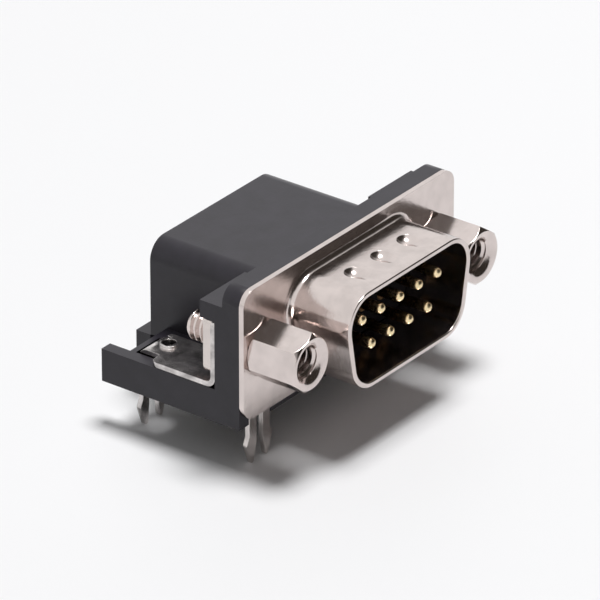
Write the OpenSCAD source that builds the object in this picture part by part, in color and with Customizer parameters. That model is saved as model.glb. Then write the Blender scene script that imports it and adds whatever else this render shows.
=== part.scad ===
// Right-angle D-sub plug with nine contacts, for a circuit board.
// X runs across the connector, -Y points out of the mating face, +Z points away from the board.
// The origin is the centre of the D, in the plane of the flange's front face.

/* [Metal shell] */
// Thickness of the shell's sheet
sheet_t = 0.5; // [0.4:0.05:0.6]
// Distance from a jackscrew's axis to the flange's end
flange_end = 2.91; // [2.85:0.01:3.2]
// Height of the flange
flange_h = 12.55; // [12.3:0.05:13.2]
// Radius of the flange's corners
flange_corner_r = 1.5; // [0.8:0.1:2]
// Height inside the shroud
shroud_h = 8.5; // [8.2:0.05:8.7]
// Room from an end contact's axis to the shroud's inner side, at mid height
shroud_side_room = 2.66; // [2.5:0.02:2.8]
// Slope of the shroud's two sides
shroud_slope = 10; // [8:0.5:12]
// Radius of the shroud's corners, inside
shroud_corner_r = 2.5; // [1.8:0.1:2.8]
// How far the shroud stands out of the flange
shroud_depth = 6.5; // [6:0.1:7]
// Radius of the bend where the shroud leaves the flange, outside
root_r = 0.6; // [0.3:0.05:0.7]
// Rounding of the rim's edges
rim_r = 0.15; // [0.05:0.05:0.2]
// Number of earthing dents in the shroud's top
dent_count = 3; // [1:1:3]
// Distance between the dents
dent_pitch = 3.85; // [3.6:0.05:4]
// Distance from the flange to the deep end of a dent
dent_y = 3.3; // [3:0.05:3.6]
// Radius of a dent's bottom
dent_r = 1.2; // [1:0.05:1.25]
// Depth of a dent at its deep end
dent_depth = 0.5; // [0.3:0.02:0.56]
// Angle at which a dent's floor rises towards the rim
dent_rise = 14.5; // [12:0.5:20]

/* [Contacts] */
// Distance between contacts in a row
pitch = 2.77; // [2.74:0.01:2.8]
// Distance between the two rows
row_gap = 2.84; // [2.7:0.02:2.9]
// Diameter of a contact pin
pin_d = 1.02; // [0.9:0.01:1.1]
// Diameter of the shank behind the pin, inside the housing
shank_d = 1.5; // [1.4:0.02:1.6]
// How far the pins reach out of the flange
pin_reach = 5.7; // [5:0.1:5.9]
// Diameter of the collar that seats a contact
collar_d = 1.8; // [1.7:0.05:1.9]
// Length of the collar
collar_len = 2; // [1:0.1:3]
// Diameter of a solder tail
tail_d = 0.7; // [0.5:0.05:0.8]
// Radius of the tail's bend, to its centre line
tail_bend_r = 1; // [0.8:0.1:1.4]
// How far the tails reach below the board's face
tail_reach = 3.3; // [2.5:0.1:3.6]
// Length of the tail's pointed end
tail_point = 0.4; // [0.2:0.1:0.6]

/* [Footprint] */
// Depth from the flange's front face to the middle of the two tail rows
footprint_y = 12.42; // [12.2:0.02:12.6]
// Height of the D's centre over the board's face
board_drop = 7.1; // [6.8:0.05:7.6]

/* [Jackscrews] */
// Distance from an end contact's axis to the jackscrew's axis
screw_room = 6.955; // [6.9:0.005:7.1]
// Diameter over the screw's thread
screw_d = 2.84; // [2.6:0.02:3]
// Distance from the flange to the screw's end
screw_reach = 7.6; // [6:0.1:8.5]
// Width of the hexagon across its flats
hex_af = 4.9; // [4.7:0.05:5]
// Length of the hexagon
hex_len = 5.16; // [4.5:0.02:6]
// Turn of the left hexagon about its axis
hex_turn_left = 19; // [0:1:59]
// Turn of the right hexagon about its axis
hex_turn_right = 24; // [0:1:59]
// Diameter of the threaded hole in the hexagon
socket_d = 2.36; // [2.1:0.02:2.5]
// Metal left between the threaded hole's floor and the flange
socket_floor = 0.7; // [0.4:0.1:1.2]
// Diameter of the countersink at the hole's mouth
countersink_d = 4; // [3.2:0.1:4.2]

/* [Brackets and nut plates] */
// Thickness of the bracket's sheet
bracket_t = 0.5; // [0.4:0.05:0.55]
// Distance from the screw's axis to the bracket's inner edge
bracket_inner = 2.25; // [2.1:0.05:2.5]
// Radius of the bracket's bends, inside
bracket_bend_r = 0.5; // [0.3:0.05:0.55]
// Radius of the bracket's corners
bracket_corner_r = 0.7; // [0.3:0.1:0.8]
// Distance from the flange to the end of the bracket's outer lobe
lobe_y = 10.3; // [9.9:0.1:10.4]
// Width of the relief cut beside the rear fork's bend
relief_w = 0.25; // [0.15:0.05:0.3]
// Diameter of the pilot hole in the bracket's foot
pilot_d = 1.25; // [1:0.05:1.3]
// Height of the rim raised round the pilot hole
pilot_rim_h = 0.25; // [0.1:0.05:0.4]
// Thickness of that rim
pilot_rim_t = 0.22; // [0.2:0.02:0.3]
// Distance from the pilot hole back to the rear fork
pilot_gap = 1.66; // [1.64:0.02:1.8]
// Distance from the jackscrew's axis in to the pilot hole
pilot_in = 0.48; // [0:0.02:0.5]
// Side of the square nut plate
nut_w = 5.3; // [5:0.1:5.4]
// Thickness of the nut plate
nut_t = 1; // [0.7:0.05:1.1]
// Radius of the nut plate's corners
nut_corner_r = 0.6; // [0.2:0.1:1]

/* [Board forks] */
// Thickness of the front fork's sheet
front_fork_t = 0.5; // [0.4:0.05:0.6]
// Radius of the front fork's eye
eye_r = 2.4; // [2.2:0.1:2.6]
// Width of a fork over its two prongs
fork_w = 3; // [2.8:0.05:3.1]
// Width of the slot between the front fork's prongs
front_slot = 0.8; // [0.6:0.05:1]
// Width of the slot between the rear fork's prongs
rear_slot = 1.3; // [1:0.05:1.35]
// How far the prongs reach below the board's face
fork_reach = 4; // [3.8:0.1:4.6]
// How far each prong's barb stands out
barb_out = 0.32; // [0.1:0.02:0.36]
// Height of the barb over the prong's tip
barb_h = 2; // [1.6:0.1:2.2]
// Height of the barb's edge
barb_edge = 0.2; // [0.1:0.05:0.4]
// Height over which the barb slopes back to the shank
barb_slope = 0.7; // [0.4:0.1:1]
// Distance from the fork's middle to a prong's tip
tip_x = 1.04; // [1:0.01:1.1]
// Radius of a prong's tip
tip_r = 0.22; // [0.15:0.01:0.25]

/* [Housing] */
// Thickness of the front plate
plate_t = 1.8; // [1.5:0.1:2.2]
// Thickness of the ears that the jackscrews clamp
ear_t = 2.67; // [2.4:0.01:2.8]
// Height of the ears' lips over the D's centre
ear_top = 4.4; // [4:0.1:4.6]
// How far a lip reaches back past the nut plate
lip_over = 0.08; // [0:0.02:0.4]
// Distance from the flange's plane to the face that the contacts leave
island_out = 0.4; // [0.1:0.1:1]
// Depth of the block that holds the contacts, from the flange's front face
core_back = 6; // [5:0.1:7.5]
// Room from an end contact's axis to the hood's side
hood_room = 3.46; // [3.2:0.02:3.66]
// Height of the hood's top over the D's centre
hood_top = 4.1; // [3.8:0.1:4.6]
// Depth of the hood, from the flange's front face
hood_back = 15.2; // [15:0.1:16]
// Rounding along the hood's top edges
hood_r = 1.9; // [1:0.1:2.2]
// Thickness of the hood's walls
wall_t = 1; // [0.8:0.05:1.1]
// Thickness of an arm
arm_t = 1.2; // [0.8:0.05:1.3]
// Height of the arms
arm_h = 3.2; // [2.8:0.1:3.4]
// Depth of the arms, from the flange's front face
arm_back = 15.65; // [15:0.05:16.4]
// Thickness of the shelf between an arm and the hood
shelf_t = 1.4; // [1:0.1:1.8]
// Depth of the shelf, from the flange's front face
shelf_back = 13.4; // [13.2:0.05:14.2]
// How far the tail spacer reaches forward of the front tail row
spacer_lead = 1.6; // [1:0.1:2]
// Thickness of the tail spacer
spacer_t = 1.95; // [1.5:0.05:2.2]
// How far the spacer's ledge stands out behind the hood
ledge_out = 1.64; // [1:0.02:2]

/* [Fits] */
// Gap round what passes through a hole
pass_gap = 0.13; // [0.08:0.01:0.2]
// Gap round what is held in a hole
hold_gap = 0.03; // [0.02:0.01:0.05]
// Gap between plates that slide in beside each other
slide_gap = 0.05; // [0.03:0.01:0.1]
// Gap on each side of the rear fork in the shelf's slot
slot_gap = 0.15; // [0.1:0.01:0.25]

/* [Hidden] */
$fn = 64;
eps = 0.01;
over = 1;
corner_steps = 12;
bend_steps = 5;

// Contacts in the upper and the lower row
contact_rows = [5, 4];
contact_count = contact_rows[0] + contact_rows[1];
row_half_w = (contact_rows[0] - 1) * pitch / 2;

// The D, as its inner outline
d_half_w = row_half_w + shroud_side_room;
d_half_h = shroud_h / 2;
d_centre_z = d_half_h - shroud_corner_r;
d_top_x = d_half_w + (d_centre_z * sin(shroud_slope) - shroud_corner_r) / cos(shroud_slope);
d_bottom_x = d_half_w - (d_centre_z * sin(shroud_slope) + shroud_corner_r) / cos(shroud_slope);
bend_out = sheet_t + root_r;

// Jackscrews and the stack that they clamp
screw_x = row_half_w + screw_room;
hex_r = hex_af / sqrt(3);
hex_bevel = 0.04;
hex_face_r = hex_af / 2 - hex_bevel;
hex_cone = hex_r - hex_face_r;
screw_tip = 0.35;
countersink_depth = (countersink_d - socket_d) / 2;
screw_hole_d = screw_d + 2 * pass_gap;
ear_back = sheet_t + ear_t;
nut_front = ear_back + bracket_t;
nut_back = nut_front + nut_t;
lip_back = nut_back + lip_over;
lip_bottom = nut_w / 2 + slide_gap;

// Housing
half_w = screw_x + flange_end;
hood_w = 2 * (row_half_w + hood_room);
plate_back = sheet_t + plate_t;
arm_top = -board_drop + arm_h;
cavity_w = hood_w - 2 * wall_t;
cavity_top = hood_top - wall_t;
cavity_back = hood_back - wall_t;
spacer_top = -board_drop + spacer_t;
spacer_front = footprint_y - row_gap / 2 - spacer_lead;
collar_front = core_back - collar_len;

// Brackets: the foot lies on the shelf, and its tongue turns down into the rear fork
bracket_outer = half_w - slide_gap - screw_x;
foot_bottom = arm_top;
foot_top = foot_bottom + bracket_t;
bend_outer_r = bracket_bend_r + bracket_t;
fork_back = footprint_y + bracket_t / 2;
tongue_back = fork_back - bend_outer_r;
pilot_y = footprint_y - pilot_gap;
tab_back = tongue_back + relief_w;
tab_corner_r = 0.3;
slot_front = lobe_y;

// Forks
fork_tip_z = -board_drop - fork_reach;

// Turns a drawing in X and Y into one in X and Z, with its height pointing out of the mating face
module front_view() {
    rotate([90, 0, 0]) children();
}

// A block given by its two corners
module block(low, high) {
    translate(low) cube(high - low);
}

// A round bar along Y, from y0 to y1
module bar_y(d, x, z, y0, y1) {
    translate([x, y1, z]) front_view() cylinder(d = d, h = y1 - y0);
}

module rounded_rect(w, h, r) {
    square([w - 2 * r, h], center = true);
    square([w, h - 2 * r], center = true);
    for (x = [-1, 1], y = [-1, 1]) translate([x * (w / 2 - r), y * (h / 2 - r)]) circle(r);
}

// Corner centres and the angles between which each corner turns, for the D and for the flange
d_corners = [[d_top_x, d_centre_z, -shroud_slope, 90], [-d_top_x, d_centre_z, 90, 180 + shroud_slope],
    [-d_bottom_x, -d_centre_z, 180 + shroud_slope, 270], [d_bottom_x, -d_centre_z, 270, 360 - shroud_slope]];
flange_x = half_w - flange_corner_r;
flange_z = flange_h / 2 - flange_corner_r;
flange_corners = [[flange_x, flange_z, 0, 90], [-flange_x, flange_z, 90, 180],
    [-flange_x, -flange_z, 180, 270], [flange_x, -flange_z, 270, 360]];

// One closed ring of points round rounded corners of radius r, at height y
function ring(corners, r, y) = [for (c = corners, s = [0:corner_steps])
    let (a = c[2] + (c[3] - c[2]) * s / corner_steps) [c[0] + r * cos(a), c[1] + r * sin(a), y]];

// The D filled in, grown by out beyond the shroud's inner outline
module d_outline(out) {
    polygon([for (p = ring(d_corners, shroud_corner_r + out, 0)) [p.x, p.y]]);
}

// Points of an arc in a section, from angle a0 to a1
function arc(centre, r, a0, a1) = [for (s = [0:bend_steps])
    let (a = a0 + (a1 - a0) * s / bend_steps) centre + r * [cos(a), sin(a)]];

// Section of the drawn sheet, from the back of the flange, over the rim, to the flange's front.
// Its x is the distance out of the inner outline, and its y points forwards.
bend_centre = [bend_out, root_r];
rim_y = shroud_depth - rim_r;
shroud_section = concat(
    arc(bend_centre, bend_out, 270, 180),
    arc([rim_r, rim_y], rim_r, 180, 90),
    arc([sheet_t - rim_r, rim_y], rim_r, 90, 0),
    arc(bend_centre, root_r, 180, 270));

// The drawn sheet: the section carried round the D, and out to the flange's edge on both faces
module drawn_sheet() {
    rings = concat([for (p = shroud_section) ring(d_corners, shroud_corner_r + p.x, p.y)],
        [ring(flange_corners, flange_corner_r, 0), ring(flange_corners, flange_corner_r, -sheet_t)]);
    rows = len(rings);
    cols = len(rings[0]);
    polyhedron([for (r = rings) each r], [for (j = [0:rows - 1], k = [0:cols - 1])
        let (j2 = (j + 1) % rows, k2 = (k + 1) % cols)
        each [[j * cols + k, j * cols + k2, j2 * cols + k2], [j * cols + k, j2 * cols + k2, j2 * cols + k]]]);
}

// Form of one dent: a bar with a ball end at the deep end, rising towards the rim
module dent_tool(r) {
    translate([0, -dent_y, d_half_h + sheet_t + dent_r - dent_depth])
        rotate([90 - dent_rise, 0, 0]) rotate_extrude() {
            intersection() {
                circle(r);
                translate([0, -r]) square(r);
            }
            square([r, 2 * dent_r + dent_y]);
        }
}

module dents() {
    for (i = [0:dent_count - 1]) translate([(i - (dent_count - 1) / 2) * dent_pitch, 0, 0]) children();
}

// The metal shell is one drawn sheet: flange, bend, D-shaped shroud and dents
module shell() color([0.80, 0.77, 0.74]) {
    difference() {
        union() {
            front_view() drawn_sheet();
            dents() intersection() {
                dent_tool(dent_r + sheet_t);
                block([-dent_r - sheet_t, -shroud_depth + rim_r, d_half_h - 2 * dent_depth],
                    [dent_r + sheet_t, -root_r, d_half_h + sheet_t / 2]);
            }
        }
        dents() dent_tool(dent_r);
        for (side = [-1, 1]) bar_y(screw_hole_d, side * screw_x, 0, -over, sheet_t + over);
    }
}

// Outline of the front fork's eye and shank, and of the pocket that holds it
module fork_plate(grow) {
    circle(eye_r + grow);
    translate([-fork_w / 2 - grow, -board_drop]) square([fork_w + 2 * grow, board_drop]);
}

// One prong, right of the fork's middle: from the slot's top down to its barb and tip
module prong(slot) {
    shank = fork_w / 2;
    polygon([[slot / 2, -board_drop + eps], [slot / 2, fork_tip_z + barb_h],
        [tip_x - tip_r, fork_tip_z + tip_r], [tip_x + tip_r, fork_tip_z + tip_r],
        [shank + barb_out, fork_tip_z + barb_h - barb_edge], [shank + barb_out, fork_tip_z + barb_h],
        [shank, fork_tip_z + barb_h + barb_slope], [shank, -board_drop + eps]]);
    translate([tip_x, fork_tip_z + tip_r]) circle(tip_r);
}

// Both prongs, with the slot's round end inside the shank above them
module prongs(shank_top, slot) {
    for (side = [0, 1]) mirror([side, 0]) prong(slot);
    difference() {
        translate([-fork_w / 2, -board_drop]) square([fork_w, board_drop + shank_top]);
        translate([-slot / 2, -board_drop - eps]) square([slot, slot + eps]);
        translate([0, -board_drop + slot]) circle(d = slot);
    }
}

// Sheet fork between the flange and the housing, with an eye round the jackscrew
module front_fork(side) color([0.78, 0.77, 0.74])
    translate([side * screw_x, sheet_t, 0]) front_view() translate([0, 0, -front_fork_t])
        linear_extrude(front_fork_t) difference() {
            union() {
                circle(eye_r);
                prongs(0, front_slot);
            }
            circle(d = screw_hole_d);
        }

// The foot's outline from above: outer lobe, tongue, inner tab beside its relief, and the pilot hole
module foot_outline(front) {
    r = bracket_corner_r;
    tab_x = fork_w / 2 + relief_w;
    difference() {
        union() {
            translate([-bracket_outer, front]) square([bracket_outer + bracket_inner, lobe_y - r - front]);
            translate([-bracket_outer + r, front]) square([fork_w / 2, lobe_y - front]);
            translate([-bracket_outer + r, lobe_y - r]) circle(r);
            translate([-fork_w / 2, front]) square([fork_w, tongue_back - front]);
            translate([0, front]) square([bracket_inner, tab_back - 2 * relief_w - front]);
            translate([tab_x, front]) square([bracket_inner - tab_x, tab_back - tab_corner_r - front]);
            translate([tab_x, front]) square([bracket_inner - tab_corner_r - tab_x, tab_back - front]);
            translate([bracket_inner - tab_corner_r, tab_back - tab_corner_r]) circle(tab_corner_r);
        }
        translate([pilot_in, pilot_y]) circle(d = pilot_d);
    }
}

// A quarter bend in the bracket's sheet, from x0 to x1, centred on its inside corner
module quarter_bend(x0, x1, turn) {
    translate([x0, 0, 0]) rotate([90, 0, 90]) rotate(turn) linear_extrude(x1 - x0) intersection() {
        difference() {
            circle(bend_outer_r);
            circle(bracket_bend_r);
        }
        square(bend_outer_r);
    }
}

// Folded bracket, drawn for the left side: leg behind the ear, foot on the shelf, rear fork
module bracket_form() {
    leg_bottom = foot_top + bracket_bend_r;
    leg_w = bracket_outer + bracket_inner;
    foot_front = nut_front + bracket_bend_r;
    // leg
    translate([0, nut_front, 0]) front_view() linear_extrude(bracket_t) difference() {
        union() {
            translate([-bracket_outer, leg_bottom])
                square([leg_w, nut_w / 2 - bracket_corner_r - leg_bottom]);
            translate([-bracket_outer + bracket_corner_r, leg_bottom])
                square([leg_w - 2 * bracket_corner_r, nut_w / 2 - leg_bottom]);
            for (x = [-bracket_outer + bracket_corner_r, bracket_inner - bracket_corner_r])
                translate([x, nut_w / 2 - bracket_corner_r]) circle(bracket_corner_r);
        }
        circle(d = screw_hole_d);
    }
    // bend from the leg to the foot
    translate([0, foot_front, leg_bottom]) quarter_bend(-bracket_outer, bracket_inner, 180);
    // foot
    translate([0, 0, foot_bottom]) linear_extrude(bracket_t) foot_outline(foot_front);
    translate([pilot_in, pilot_y, foot_top - eps]) difference() {
        cylinder(d = pilot_d + 2 * pilot_rim_t, h = pilot_rim_h + eps);
        translate([0, 0, -eps]) cylinder(d = pilot_d, h = pilot_rim_h + 3 * eps);
    }
    // bend from the tongue to the rear fork
    translate([0, tongue_back, foot_bottom - bracket_bend_r]) quarter_bend(-fork_w / 2, fork_w / 2, 0);
    // rear fork
    translate([0, fork_back, 0]) front_view() linear_extrude(bracket_t)
        prongs(foot_bottom - bracket_bend_r, rear_slot);
}

module bracket(side) color([0.70, 0.70, 0.70])
    mirror([side > 0 ? 1 : 0, 0, 0]) translate([-screw_x, 0, 0]) bracket_form();

module nut_plate(side) color([0.82, 0.80, 0.75])
    translate([side * screw_x, nut_back, 0]) front_view() linear_extrude(nut_t) difference() {
        rounded_rect(nut_w, nut_w, nut_corner_r);
        circle(d = screw_d + 2 * hold_gap);
    }

// Hexagonal head with both ends chamfered, a blind threaded hole, and the screw behind it
module jackscrew(side) color([0.85, 0.82, 0.80]) {
    translate([side * screw_x, 0, 0]) front_view() {
        difference() {
            intersection() {
                rotate(side < 0 ? hex_turn_left : hex_turn_right) cylinder(r = hex_r, h = hex_len, $fn = 6);
                rotate_extrude() polygon([[0, -over], [hex_face_r - over, -over],
                    [hex_r + over, hex_cone + over], [hex_r + over, hex_len - hex_cone - over],
                    [hex_face_r - over, hex_len + over], [0, hex_len + over]]);
            }
            translate([0, 0, socket_floor]) cylinder(d = socket_d, h = hex_len);
            translate([0, 0, hex_len - countersink_depth])
                cylinder(d1 = socket_d, d2 = countersink_d + 2 * over, h = countersink_depth + over);
        }
        translate([0, 0, -screw_reach + screw_tip]) cylinder(d = screw_d, h = screw_reach - screw_tip + eps);
        translate([0, 0, -screw_reach])
            cylinder(d1 = screw_d - 2 * screw_tip, d2 = screw_d, h = screw_tip);
    }
}

// Contacts are numbered along the upper row, then along the lower row.
// The upper row's tails turn down behind those of the lower row.
function is_upper(i) = i <= contact_rows[0];
function place_in_row(i) = is_upper(i) ? i : i - contact_rows[0];
function row_size(i) = is_upper(i) ? contact_rows[0] : contact_rows[1];
function contact_x(i) = (place_in_row(i) - (row_size(i) + 1) / 2) * pitch;
function contact_z(i) = (is_upper(i) ? 1 : -1) * row_gap / 2;
function tail_y(i) = footprint_y + (is_upper(i) ? 1 : -1) * row_gap / 2;

module contact(i) color([0.86, 0.70, 0.35]) translate([contact_x(i), 0, contact_z(i)]) {
    tail_end = -board_drop - tail_reach - contact_z(i);
    dome = pin_d / 2;
    bend_y = tail_y(i) - tail_bend_r;
    // domed pin, shank, collar and the start of the tail, turned about one axis
    front_view() rotate_extrude() {
        translate([0, pin_reach - dome]) intersection() {
            circle(dome);
            square(dome);
        }
        translate([0, island_out]) square([dome, pin_reach - dome - island_out]);
        translate([0, -collar_front]) square([shank_d / 2, collar_front + island_out]);
        translate([0, -core_back]) square([collar_d / 2, collar_len]);
        translate([0, -bend_y]) square([tail_d / 2, bend_y - core_back]);
    }
    translate([0, bend_y, -tail_bend_r]) rotate([0, -90, 0]) rotate_extrude(angle = 90)
        translate([tail_bend_r, 0]) circle(d = tail_d);
    translate([0, tail_y(i), tail_end + tail_point])
        cylinder(d = tail_d, h = -tail_bend_r - tail_end - tail_point);
    translate([0, tail_y(i), tail_end]) cylinder(d1 = tail_d / 2, d2 = tail_d, h = tail_point);
}

// Flat organiser that keeps the tails on their pitch; its ledge shows behind the hood
module tail_spacer() color([0.17, 0.17, 0.19]) difference() {
    union() {
        block([-cavity_w / 2 + slide_gap, spacer_front, -board_drop],
            [cavity_w / 2 - slide_gap, hood_back + slide_gap + eps, spacer_top]);
        block([-hood_w / 2, hood_back + slide_gap, -board_drop],
            [hood_w / 2, hood_back + ledge_out, spacer_top]);
    }
    for (i = [1:contact_count]) translate([contact_x(i), tail_y(i), -board_drop - over])
        cylinder(d = tail_d + 2 * hold_gap, h = spacer_t + 2 * over);
}

// Front plate with square lower corners and rounded upper ones
module plate_outline() {
    r = flange_corner_r;
    top = flange_h / 2;
    translate([-half_w, -board_drop]) square([2 * half_w, board_drop + top - r]);
    translate([-half_w + r, 0]) square([2 * (half_w - r), top]);
    for (side = [-1, 1]) translate([side * (half_w - r), top - r]) circle(r);
}

// Cross-section of the hood, with rounded upper edges
module hood_outline() {
    half = hood_w / 2;
    translate([-half, -board_drop]) square([hood_w, board_drop + hood_top - hood_r]);
    translate([-half + hood_r, -board_drop]) square([hood_w - 2 * hood_r, board_drop + hood_top]);
    for (side = [-1, 1]) translate([side * (half - hood_r), hood_top - hood_r]) circle(hood_r);
}

// Ear, lip, arm and shelf of the right side
module wing() {
    inner = hood_w / 2 - eps;
    block([inner, plate_back - eps, -board_drop], [half_w, ear_back, ear_top]);
    block([inner, ear_back - eps, lip_bottom], [half_w, lip_back, ear_top]);
    block([half_w - arm_t, ear_back - eps, -board_drop], [half_w, arm_back, arm_top]);
    difference() {
        block([inner, ear_back - eps, arm_top - shelf_t], [half_w - arm_t + eps, shelf_back, arm_top]);
        block([screw_x - fork_w / 2 - slot_gap, slot_front, arm_top - shelf_t - over],
            [screw_x + fork_w / 2 + slot_gap, fork_back + slot_gap, arm_top + over]);
    }
}

// Moulded housing: island, front plate, contact block, open hood, ears, arms and shelves
module housing() color([0.20, 0.20, 0.23]) difference() {
    union() {
        front_view() {
            translate([0, 0, -plate_back]) linear_extrude(plate_t) plate_outline();
            translate([0, 0, -sheet_t - eps]) linear_extrude(sheet_t + island_out + eps)
                d_outline(-slide_gap);
            translate([0, 0, -hood_back]) linear_extrude(hood_back - plate_back + eps) hood_outline();
        }
        for (side = [0, 1]) mirror([side, 0, 0]) wing();
    }
    // hollow behind and below the contact block, open to the board
    block([-cavity_w / 2, core_back, -board_drop - over], [cavity_w / 2, cavity_back, cavity_top]);
    block([-cavity_w / 2, plate_back, -board_drop - over], [cavity_w / 2, core_back + over, arm_top]);
    // gap under the rear wall for the spacer's ledge
    block([-hood_w / 2 - over, cavity_back - eps, -board_drop - over],
        [hood_w / 2 + over, hood_back + over, spacer_top + slide_gap]);
    // seats of the contacts
    for (i = [1:contact_count]) {
        bar_y(shank_d + 2 * hold_gap, contact_x(i), contact_z(i), -island_out - over, core_back + over);
        bar_y(collar_d + 2 * hold_gap, contact_x(i), contact_z(i), collar_front, core_back + over);
    }
    // pockets of the front forks and holes of the jackscrews
    for (side = [-1, 1]) {
        bar_y(screw_hole_d, side * screw_x, 0, sheet_t - over, lip_back + over);
        translate([side * screw_x, sheet_t, 0]) front_view() translate([0, 0, -front_fork_t])
            linear_extrude(front_fork_t + over) {
                fork_plate(slide_gap);
                translate([-fork_w / 2 - slide_gap, -board_drop - over])
                    square([fork_w + 2 * slide_gap, 2 * over]);
            }
    }
}

housing();
tail_spacer();
shell();
for (i = [1:contact_count]) contact(i);
jackscrew(-1);  // jackscrew_left
jackscrew(1);  // jackscrew_right
nut_plate(-1);  // nut_plate_left
nut_plate(1);  // nut_plate_right
bracket(-1);  // bracket_left
bracket(1);  // bracket_right
front_fork(-1);  // front_fork_left
front_fork(1);  // front_fork_right
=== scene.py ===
"""D-sub connector: rounded edges, screw threads, finishes, floor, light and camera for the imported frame."""
import math

import bmesh
import bpy
from mathutils import Matrix, Vector


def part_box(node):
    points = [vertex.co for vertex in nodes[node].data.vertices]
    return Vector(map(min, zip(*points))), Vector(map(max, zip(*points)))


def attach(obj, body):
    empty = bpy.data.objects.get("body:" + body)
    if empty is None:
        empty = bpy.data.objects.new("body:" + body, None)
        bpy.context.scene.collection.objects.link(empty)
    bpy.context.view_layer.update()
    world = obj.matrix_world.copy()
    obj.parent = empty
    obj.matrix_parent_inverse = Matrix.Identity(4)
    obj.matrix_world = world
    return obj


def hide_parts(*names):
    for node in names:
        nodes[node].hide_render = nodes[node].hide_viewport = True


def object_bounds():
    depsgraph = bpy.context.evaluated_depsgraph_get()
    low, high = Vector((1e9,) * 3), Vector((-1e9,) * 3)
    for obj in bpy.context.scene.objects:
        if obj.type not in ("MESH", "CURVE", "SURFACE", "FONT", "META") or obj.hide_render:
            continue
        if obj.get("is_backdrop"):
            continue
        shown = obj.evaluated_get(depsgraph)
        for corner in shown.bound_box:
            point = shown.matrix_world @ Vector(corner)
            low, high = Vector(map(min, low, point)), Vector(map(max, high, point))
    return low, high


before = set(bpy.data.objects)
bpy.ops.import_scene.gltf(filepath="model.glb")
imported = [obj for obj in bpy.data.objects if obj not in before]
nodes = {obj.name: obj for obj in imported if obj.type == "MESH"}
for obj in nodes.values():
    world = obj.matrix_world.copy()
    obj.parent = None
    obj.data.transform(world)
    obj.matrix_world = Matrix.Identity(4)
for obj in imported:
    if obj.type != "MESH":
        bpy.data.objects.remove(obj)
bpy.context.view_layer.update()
MM = 0.001

# Shapes
JOIN_DISTANCE = 0.0004 * MM         # points closer than this are one point
FLAT_ANGLE = math.radians(0.2)      # faces that turn by less than this are one face
SHARP_ANGLE = math.radians(35)      # edges that turn by more than this are shaded sharp
BEVEL_ANGLE = math.radians(40)      # edges that turn by more than this are rounded

# Jackscrews, UNC 4-40
PITCH = 25.4 / 40 * MM
SCREW_R = 1.42 * MM                 # crest of the outside thread
SCREW_ROOT_R = 1.1 * MM
SOCKET_R = 1.46 * MM                # root of the inside thread
SOCKET_CREST_R = 1.12 * MM
SOCKET_FLOOR = 0.9 * MM             # the inside thread stops this far in front of the flange's face, Y = 0
THREAD_START = 0.6 * MM             # the outside thread starts this far behind that face
SLEEVE_R = 2 * MM                   # outside of the sleeve that cuts the outside thread
SCREW_EDGE = 0.05 * MM              # width of the jackscrews' rounded edges
MOUTH_R = 2.2 * MM                  # the socket's countersink, at the hexagon's face
MOUTH_SLIM_R = 1.5 * MM
MOUTH_DEPTH = 0.45 * MM
SKIN = 0.02 * MM                    # a cutting tool reaches past the surface by this much


# ---------------------------------------------------------------- shapes

def new_object(name, data):
    """An object in the scene, from a mesh, a lamp or a camera."""
    obj = bpy.data.objects.new(name, data)
    bpy.context.scene.collection.objects.link(obj)
    return obj


def tidy_copy(node):
    """The CAD node's form as a mesh of its own, with doubled points joined and each flat area one face."""
    work = bmesh.new()
    work.from_mesh(nodes[node].data)
    bmesh.ops.remove_doubles(work, verts=work.verts, dist=JOIN_DISTANCE)
    bmesh.ops.dissolve_limit(work, angle_limit=FLAT_ANGLE, verts=work.verts, edges=work.edges)
    bmesh.ops.recalc_face_normals(work, faces=work.faces)
    mesh = bpy.data.meshes.new(node)
    work.to_mesh(mesh)
    work.free()
    return new_object(node + "_shape", mesh)


def bake(obj):
    """Makes obj's modifiers part of its mesh."""
    bpy.context.view_layer.update()
    mesh = bpy.data.meshes.new_from_object(obj.evaluated_get(bpy.context.evaluated_depsgraph_get()))
    obj.modifiers.clear()
    obj.data = mesh


def shade(obj):
    """Shades curves smooth, keeps sharp edges sharp, and lets each flat area keep its own direction."""
    for face in obj.data.polygons:
        face.use_smooth = True
    obj.data.set_sharp_from_angle(angle=SHARP_ANGLE)
    weigh = obj.modifiers.new("weigh", "WEIGHTED_NORMAL")
    weigh.mode = "FACE_AREA"
    weigh.weight = 100
    weigh.keep_sharp = True
    bake(obj)


def round_edges(obj, width):
    """Rounds the edges that turn by more than BEVEL_ANGLE."""
    bevel = obj.modifiers.new("round", "BEVEL")
    bevel.width = width
    bevel.segments = 2
    bevel.limit_method = "ANGLE"
    bevel.angle_limit = BEVEL_ANGLE
    bevel.use_clamp_overlap = True
    bevel.miter_outer = "MITER_ARC"
    bake(obj)


def stand_in(obj, node):
    """obj is shown in place of the CAD node."""
    shade(obj)
    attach(obj, "root")
    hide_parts(node)
    pieces[node] = obj


def closed_mesh(name, points, faces):
    """An object from points and faces, with its faces turned outwards."""
    mesh = bpy.data.meshes.new(name)
    mesh.from_pydata(points, [], faces)
    work = bmesh.new()
    work.from_mesh(mesh)
    bmesh.ops.recalc_face_normals(work, faces=work.faces)
    work.to_mesh(mesh)
    work.free()
    return new_object(name, mesh)


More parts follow.
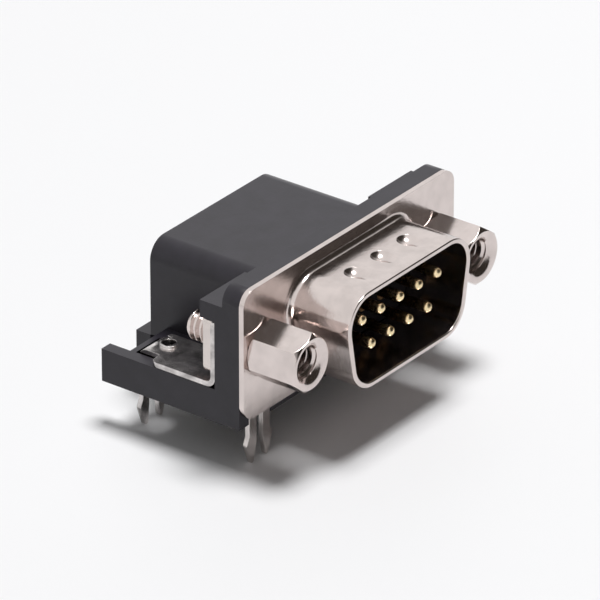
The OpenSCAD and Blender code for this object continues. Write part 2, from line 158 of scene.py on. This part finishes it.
def thread_tool(name, axis, start, turns, radii, wall=None, sides=48):
    """A closed bar along Y with a right-hand thread on it, or a sleeve with the thread inside it.
    The rows of points climb along the thread, so its crests are clean lines."""
    rows_a_turn = len(radii)
    top = rows_a_turn * turns

    def ring(size):
        out = []
        for k in range(sides):
            angle = 2 * math.pi * k / sides
            extra = rows_a_turn if k == 0 else 0
            for j in range(top + extra + 1):
                r = size(j % rows_a_turn)
                along = start + PITCH * (k / sides + j / rows_a_turn)
                out.append((axis[0] + r * math.sin(angle), along, axis[1] + r * math.cos(angle)))
        return out

    def at(k, j):
        if k == sides:
            return j + rows_a_turn
        return j if k == 0 else k * (top + 1) + rows_a_turn + j

    points = ring(lambda j: radii[j])
    faces = []
    for k in range(sides):
        for j in range(top):
            faces.append((at(k, j), at(k + 1, j), at(k + 1, j + 1), at(k, j + 1)))
    low = [at(k, 0) for k in range(sides + 1)] + list(range(rows_a_turn - 1, 0, -1))
    high = [at(k, top) for k in range(sides + 1)] + list(range(top + rows_a_turn - 1, top, -1))
    if wall:
        offset = len(points)
        faces += [tuple(offset + p for p in face) for face in faces]
        points += ring(lambda j: wall)
        for loop in (low, high):
            faces += [(a, b, offset + b, offset + a) for a, b in zip(loop, loop[1:] + loop[:1])]
    else:
        for loop, y in ((low, start), (high, start + PITCH * (turns + 1))):
            points.append((axis[0], y, axis[1]))
            faces += [(a, b, len(points) - 1) for a, b in zip(loop, loop[1:] + loop[:1])]
    return closed_mesh(name, points, faces)


def cone_tool(name, axis, start, wide, depth, slim, sides=64):
    """A closed cone along Y that opens a countersink."""
    points = []
    for r, y in ((wide, start), (slim, start + depth)):
        for k in range(sides):
            angle = 2 * math.pi * k / sides
            points.append((axis[0] + r * math.sin(angle), y, axis[1] + r * math.cos(angle)))
    faces = [(k, (k + 1) % sides, sides + (k + 1) % sides, sides + k) for k in range(sides)]
    faces += [tuple(reversed(range(sides))), tuple(range(sides, 2 * sides))]
    return closed_mesh(name, points, faces)


def cut(obj, tools):
    """Takes the tools' forms away from obj."""
    for tool in tools:
        change = obj.modifiers.new("cut", "BOOLEAN")
        change.operation = "DIFFERENCE"
        change.solver = "MANIFOLD"
        change.object = tool
    bake(obj)
    for tool in tools:
        bpy.data.objects.remove(tool)


def profile(root, crest):
    """The radii of one turn of thread, from its root to its crest and back."""
    rise = [0, 0, 1 / 3, 2 / 3, 1, 1, 2 / 3, 1 / 3]
    return [root + (crest - root) * t for t in rise]


def body(node, width):
    """A CAD node with its edges rounded to the width in mm."""
    obj = tidy_copy(node)
    round_edges(obj, width * MM)
    stand_in(obj, node)


def jackscrew(node):
    """A jackscrew with its two threads and the countersink at its socket's mouth."""
    obj = tidy_copy(node)
    round_edges(obj, SCREW_EDGE)
    low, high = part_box(node)
    axis = ((low.x + high.x) / 2, (low.z + high.z) / 2)
    turns_out = math.ceil((high.y - THREAD_START) / PITCH)
    outside = thread_tool("outside", axis, THREAD_START, turns_out,
                          profile(SCREW_ROOT_R, SCREW_R + SKIN), wall=SLEEVE_R)
    turns_in = math.ceil((-SOCKET_FLOOR - low.y) / PITCH)
    inside = thread_tool("inside", axis, -SOCKET_FLOOR - PITCH * (turns_in + 1), turns_in,
                         profile(SOCKET_R, SOCKET_CREST_R))
    mouth = cone_tool("mouth", axis, low.y - SKIN, MOUTH_R, MOUTH_DEPTH, MOUTH_SLIM_R)
    cut(obj, [outside, mouth, inside])
    stand_in(obj, node)


pieces = {}
body("housing", 0.14)
body("tail_spacer", 0.1)
body("shell", 0.1)
for side in ("left", "right"):
    body("nut_plate_" + side, 0.1)
    body("bracket_" + side, 0.12)
    body("front_fork_" + side, 0.08)
for side in ("left", "right"):
    jackscrew("jackscrew_" + side)


# ---------------------------------------------------------------- materials

BLACK, WHITE = (0, 0, 0), (1, 1, 1)
PLASTIC = (0.020, 0.0175, 0.024)
# painted shade: a near-black colour for the housing's face inside the shroud
PAINTED_SHADE_BLACK = (0.004, 0.003, 0.005)
DULL_AND_SHADED_FACE = -0.3 * MM                                   # the housing is matt, and painted darker as shade, in front of this
PIN_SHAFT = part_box("contact_1")[0].y + 0.3 * MM         # the pins' painted shade starts behind their tips here
PIN_FOOT = 1 * MM                                       # and ends, bright again, behind the housing's face


class Nodes:
    """A material's node tree, with short calls to add and join nodes."""

    def __init__(self, name):
        self.mat = bpy.data.materials.new(name)
        self.mat.use_nodes = True
        self.tree = self.mat.node_tree
        self.bsdf = self.tree.nodes["Principled BSDF"]
        self.coords = self.add("ShaderNodeTexCoord").outputs["Object"]

    def add(self, kind, **values):
        node = self.tree.nodes.new(kind)
        for key, value in values.items():
            setattr(node, key, value)
        return node

    def join(self, source, target):
        self.tree.links.new(source, target)

    def noise(self, scale, detail=3.0, rough=0.55):
        node = self.add("ShaderNodeTexNoise")
        node.inputs["Scale"].default_value = scale
        node.inputs["Detail"].default_value = detail
        node.inputs["Roughness"].default_value = rough
        self.join(self.coords, node.inputs["Vector"])
        return node.outputs["Fac"]

    def ramp(self, fac, stops):
        node = self.add("ShaderNodeValToRGB")
        while len(node.color_ramp.elements) < len(stops):
            node.color_ramp.elements.new(0.5)
        for element, (at, colour) in zip(node.color_ramp.elements, stops):
            element.position = at
            element.color = (*colour, 1)
        self.join(fac, node.inputs["Fac"])
        return node.outputs["Color"]

    def map(self, fac, low, high):
        node = self.add("ShaderNodeMapRange")
        node.inputs["To Min"].default_value = low
        node.inputs["To Max"].default_value = high
        self.join(fac, node.inputs["Value"])
        return node.outputs["Result"]

    def depth(self, front, back):
        """0 in front of Y = front, rising to 1 at Y = back and behind it."""
        split = self.add("ShaderNodeSeparateXYZ")
        self.join(self.coords, split.inputs["Vector"])
        place = self.add("ShaderNodeMapRange")
        place.inputs["From Min"].default_value = front
        place.inputs["From Max"].default_value = back
        self.join(split.outputs["Y"], place.inputs["Value"])
        return place.outputs["Result"]

    def mix_colour(self, fac, tone, colour):
        """The tone, turning into the plain colour where fac is 1."""
        mix = self.add("ShaderNodeMix", data_type="RGBA")
        self.join(fac, mix.inputs["Factor"])
        self.join(tone, mix.inputs["A"])
        mix.inputs["B"].default_value = (*colour, 1)
        return mix.outputs["Result"]

    def mix_value(self, fac, value, other):
        """The value, turning into the other number where fac is 1."""
        mix = self.add("ShaderNodeMix")
        self.join(fac, mix.inputs["Factor"])
        self.join(value, mix.inputs["A"])
        mix.inputs["B"].default_value = other
        return mix.outputs["Result"]

    def bump(self, height, distance):
        node = self.add("ShaderNodeBump")
        node.inputs["Distance"].default_value = distance
        node.inputs["Strength"].default_value = 1.0
        self.join(height, node.inputs["Height"])
        self.join(node.outputs["Normal"], self.bsdf.inputs["Normal"])


def shades(colour, spread):
    """A darker and a lighter shade of the colour."""
    return tuple(c * (1 - spread) for c in colour), tuple(min(1.0, c * (1 + spread)) for c in colour)


def plastic(name, rough, dull_and_shaded_face=False):
    """Black moulded plastic with a fine grain. The face inside the shroud can be matt, and darker by a
    painted shade colour.
    """
    n = Nodes(name)
    n.bsdf.inputs["IOR"].default_value = 1.4
    dark, light = shades(PLASTIC, 0.2)
    tone = n.ramp(n.noise(scale=450, detail=4), [(0.3, dark), (0.7, light)])
    gloss = n.map(n.noise(scale=1200), rough - 0.05, rough + 0.07)
    if dull_and_shaded_face:
        # painted shade: the housing's face inside the shroud gets a darker colour, and is also made matt
        face = n.map(n.depth(DULL_AND_SHADED_FACE - 0.001 * MM, DULL_AND_SHADED_FACE), 1, 0)
        tone = n.mix_colour(face, tone, PAINTED_SHADE_BLACK)
        gloss = n.mix_value(face, gloss, 0.9)
    n.join(tone, n.bsdf.inputs["Base Color"])
    n.join(gloss, n.bsdf.inputs["Roughness"])
    n.bump(n.noise(scale=5000), 0.004 * MM)
    return n.mat


def metal(name, colour, rough, mottle=0.06, grain=3000, depth=0.004, shaft_shade_colour=None):
    """Plated metal. Grain is the fineness of its ripples, and depth is their height in mm.
    The pins are bright at their tips, and darker down in the shroud by a painted shade colour."""
    n = Nodes(name)
    n.bsdf.inputs["Metallic"].default_value = 1.0
    dark, light = shades(colour, mottle)
    tone = n.ramp(n.noise(scale=600, detail=4), [(0.35, dark), (0.65, light)])
    if shaft_shade_colour:
        # painted shade: the pins' colour darkens down in the shroud, between their tips and the housing's
        # face
        down = n.depth(PIN_SHAFT, PIN_FOOT)
        painted_pin_shade = n.ramp(down, [(0, BLACK), (0.18, WHITE), (0.8, WHITE), (1, BLACK)])
        tone = n.mix_colour(painted_pin_shade, tone, shaft_shade_colour)
    n.join(tone, n.bsdf.inputs["Base Color"])
    gloss = n.map(n.noise(scale=1500, detail=4), rough * 0.75, rough * 1.3)
    n.join(gloss, n.bsdf.inputs["Roughness"])
    n.bump(n.noise(scale=grain, detail=4, rough=0.6), depth * MM)
    return n.mat


def finish(node, mat):
    """Gives the node, and the object that stands in for it, their material."""
    if node in pieces:
        pieces[node].data.materials.clear()
        pieces[node].data.materials.append(mat)
    for slot in nodes[node].material_slots:
        slot.link = "OBJECT"
        slot.material = mat


finish("housing", plastic("housing", 0.30, dull_and_shaded_face=True))
finish("tail_spacer", plastic("spacer", 0.36))
finish("shell", metal("shell", (0.665, 0.592, 0.567), 0.17, grain=2600, depth=0.014))
# the pins' bodies in the shroud take a painted shade colour
gold = metal("contact", (0.90, 0.74, 0.46), 0.26, depth=0.001, shaft_shade_colour=(0.20, 0.13, 0.06))
for i in range(1, 10):
    finish(f"contact_{i}", gold)
pairs = {
    "jackscrew": metal("jackscrew", (0.68, 0.605, 0.58), 0.16, depth=0.002),
    "nut_plate": metal("nut_plate", (0.66, 0.60, 0.57), 0.22),
    "bracket": metal("bracket", (0.60, 0.57, 0.56), 0.22, mottle=0.4, grain=2600, depth=0.012),
    "front_fork": metal("fork", (0.58, 0.54, 0.52), 0.18, grain=2600, depth=0.01),
}
for name, mat in pairs.items():
    for side in ("left", "right"):
        finish(f"{name}_{side}", mat)


# ---------------------------------------------------------------- floor, light and camera

def floor():
    """A pale floor under the forks' tips."""
    low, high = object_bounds()
    half = 1.5
    mesh = bpy.data.meshes.new("floor")
    corners = [(-half, -half, low.z), (half, -half, low.z), (half, half, low.z), (-half, half, low.z)]
    mesh.from_pydata(corners, [], [(0, 1, 2, 3)])
    obj = new_object("floor", mesh)
    obj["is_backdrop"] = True
    n = Nodes("floor")
    n.bsdf.inputs["Base Color"].default_value = (0.86, 0.86, 0.87, 1)
    n.bsdf.inputs["Roughness"].default_value = 0.5
    mesh.materials.append(n.mat)


def studio(dark_side, seen_strength, fill_strength):
    """A white room with one dark side. Metal shows it in full, and it lights the object more softly."""
    world = bpy.data.worlds.new("studio")
    bpy.context.scene.world = world
    world.use_nodes = True
    tree = world.node_tree
    coords = tree.nodes.new("ShaderNodeTexCoord")
    dot = tree.nodes.new("ShaderNodeVectorMath")
    dot.operation = "DOT_PRODUCT"
    dot.inputs[1].default_value = Vector(dark_side).normalized()
    ramp = tree.nodes.new("ShaderNodeValToRGB")
    white, dark = ramp.color_ramp.elements
    white.position = 0.42
    white.color = (1, 1, 1, 1)
    dark.position = 0.70
    dark.color = (0.04, 0.035, 0.03, 1)
    seen = tree.nodes["Background"]
    seen.inputs["Strength"].default_value = seen_strength
    fill = tree.nodes.new("ShaderNodeBackground")
    fill.inputs["Strength"].default_value = fill_strength
    path = tree.nodes.new("ShaderNodeLightPath")
    either = tree.nodes.new("ShaderNodeMath")
    either.operation = "MAXIMUM"
    mix = tree.nodes.new("ShaderNodeMixShader")
    join = tree.links.new
    join(coords.outputs["Generated"], dot.inputs[0])
    join(dot.outputs["Value"], ramp.inputs["Fac"])
    join(ramp.outputs["Color"], seen.inputs["Color"])
    join(ramp.outputs["Color"], fill.inputs["Color"])
    join(path.outputs["Is Camera Ray"], either.inputs[0])
    join(path.outputs["Is Glossy Ray"], either.inputs[1])
    join(either.outputs["Value"], mix.inputs["Fac"])
    join(fill.outputs["Background"], mix.inputs[1])
    join(seen.outputs["Background"], mix.inputs[2])
    join(mix.outputs["Shader"], tree.nodes["World Output"].inputs["Surface"])


def area_light(name, place, aim, size, power):
    """A round lamp at the place, turned to the aim."""
    data = bpy.data.lights.new(name, "AREA")
    data.shape = "DISK"
    data.size = size
    data.energy = power
    lamp = new_object(name, data)
    lamp.location = place
    lamp.rotation_euler = (Vector(aim) - Vector(place)).to_track_quat("-Z", "Y").to_euler()


def look(azimuth, elevation, distance, right, up, lens):
    """A camera aimed at the origin, then moved right and up in its own picture."""
    a, e = math.radians(azimuth), math.radians(elevation)
    back = Vector((math.sin(a) * math.cos(e), -math.cos(a) * math.cos(e), math.sin(e)))
    across = Vector((math.cos(a), math.sin(a), 0))
    over = back.cross(across)
    data = bpy.data.cameras.new("camera")
    data.lens = lens
    data.sensor_width = 36
    data.clip_start = 0.01
    data.clip_end = 10
    camera = new_object("camera", data)
    turn = Matrix((across, over, back)).transposed().to_4x4()
    camera.matrix_world = Matrix.Translation(back * distance + across * right + over * up) @ turn
    bpy.context.scene.camera = camera


floor()
studio(dark_side=(0.55, -0.80, 0.30), seen_strength=0.98, fill_strength=0.22)
area_light("key", place=(0.11, -0.04, 0.8), aim=(0, 0, 0), size=0.30, power=6.5)
look(azimuth=-53.04, elevation=27.864, distance=610.96 * MM, right=-4.415 * MM, up=-0.568 * MM, lens=418.9)

bpy.context.scene.view_settings.view_transform = "Standard"
